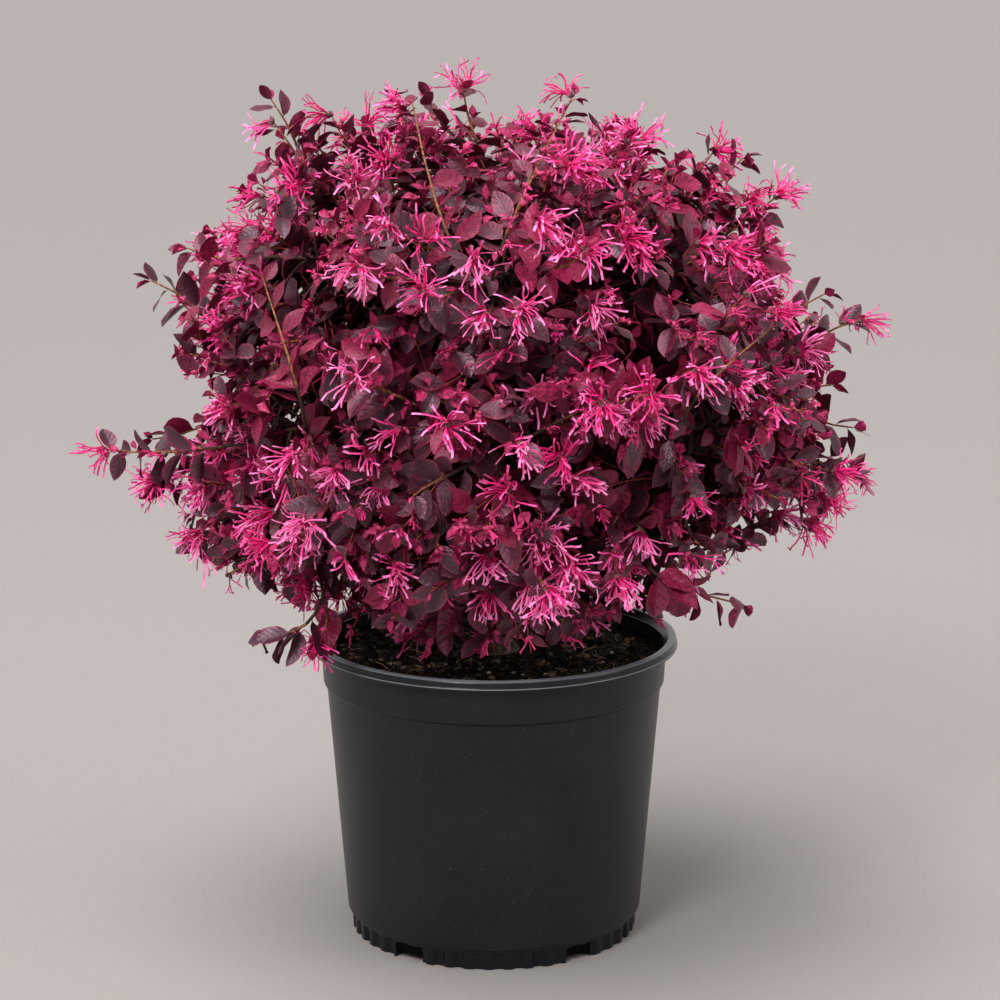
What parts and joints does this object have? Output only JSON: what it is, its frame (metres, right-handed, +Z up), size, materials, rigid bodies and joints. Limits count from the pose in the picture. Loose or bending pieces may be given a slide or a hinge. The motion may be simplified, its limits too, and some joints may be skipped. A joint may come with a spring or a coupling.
{
  "type": "potted chinese fringe flower shrub",
  "caption": "Rounded purple-leaved flowering shrub with pink strap petals, growing in a round black plastic nursery pot that stands on its flat underside.",
  "frame": {"origin": "centre of the pot's flat underside, on the surface that it stands on", "axes": "+Z up along the stem, -Y towards the front that the picture shows, +X to the right of that view"},
  "size_m": [0.5966, 0.5715, 0.6638],
  "materials": {
    "black_plastic": "satin",
    "dark_mix": "matte",
    "bark": "matte",
    "wine_leaves": "matte"
  },
  "bodies": {
    "root": {"bough_low_back": "bark", "bough_low_back_left": "bark", "bough_low_back_right": "bark", "bough_low_front": "bark", "bough_low_front_left": "bark", "bough_low_front_right": "bark", "bough_middle_back_left": "bark", "bough_middle_back_right": "bark", "bough_middle_front": "bark", "bough_middle_front_left": "bark", "bough_middle_front_right": "bark", "bough_middle_left": "bark", "bough_middle_right": "bark", "bough_top": "bark", "bough_upper_back": "bark", "bough_upper_back_left": "bark", "bough_upper_back_right": "bark", "bough_upper_front": "bark", "bough_upper_front_left": "bark", "bough_upper_front_right": "bark", "foliage_low_back": "wine_leaves", "foliage_low_back_left": "wine_leaves", "foliage_low_back_right": "wine_leaves", "foliage_low_front": "wine_leaves", "foliage_low_front_left": "wine_leaves", "foliage_low_front_right": "wine_leaves", "foliage_middle_back_left": "wine_leaves", "foliage_middle_back_right": "wine_leaves", "foliage_middle_front": "wine_leaves", "foliage_middle_front_left": "wine_leaves", "foliage_middle_front_right": "wine_leaves", "foliage_middle_left": "wine_leaves", "foliage_middle_right": "wine_leaves", "foliage_top": "wine_leaves", "foliage_upper_back": "wine_leaves", "foliage_upper_back_left": "wine_leaves", "foliage_upper_back_right": "wine_leaves", "foliage_upper_front": "wine_leaves", "foliage_upper_front_left": "wine_leaves", "foliage_upper_front_right": "wine_leaves", "pot": "black_plastic", "soil": "dark_mix", "stem": "bark"}
  },
  "joints": []
}
